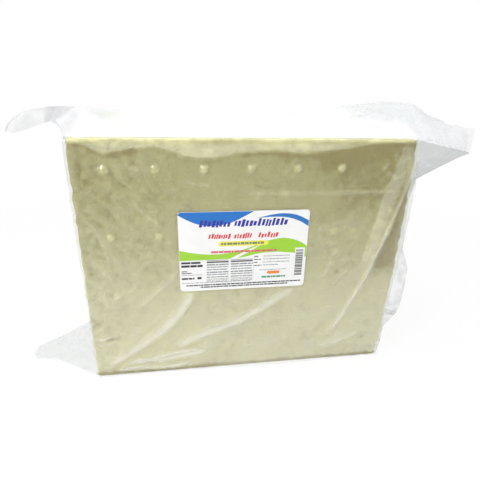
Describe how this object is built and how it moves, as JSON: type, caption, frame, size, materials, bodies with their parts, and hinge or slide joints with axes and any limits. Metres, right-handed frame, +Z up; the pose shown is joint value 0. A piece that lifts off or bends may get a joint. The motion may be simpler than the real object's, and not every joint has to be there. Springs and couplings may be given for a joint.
{
  "type": "hard cheese block",
  "caption": "Large upright block of hard white cheese in a clear vacuum pouch, with a plain printed label on the front and loose film ears at its ends.",
  "frame": {"origin": "middle of the cheese block's base, on the surface it stands on", "axes": "+X along the block's length to the sealed fin, +Y from the labelled front to the back, +Z up"},
  "size_m": [0.585, 0.1842, 0.3136],
  "materials": {
    "cheese": "moist, smooth pressed curd, pale yellow",
    "film": "clear glossy film",
    "label": "coated paper, printed in blue, green and yellow fields"
  },
  "bodies": {
    "root": {"cheese_block": "cheese", "film_pouch": "film", "label": "label"}
  },
  "joints": []
}
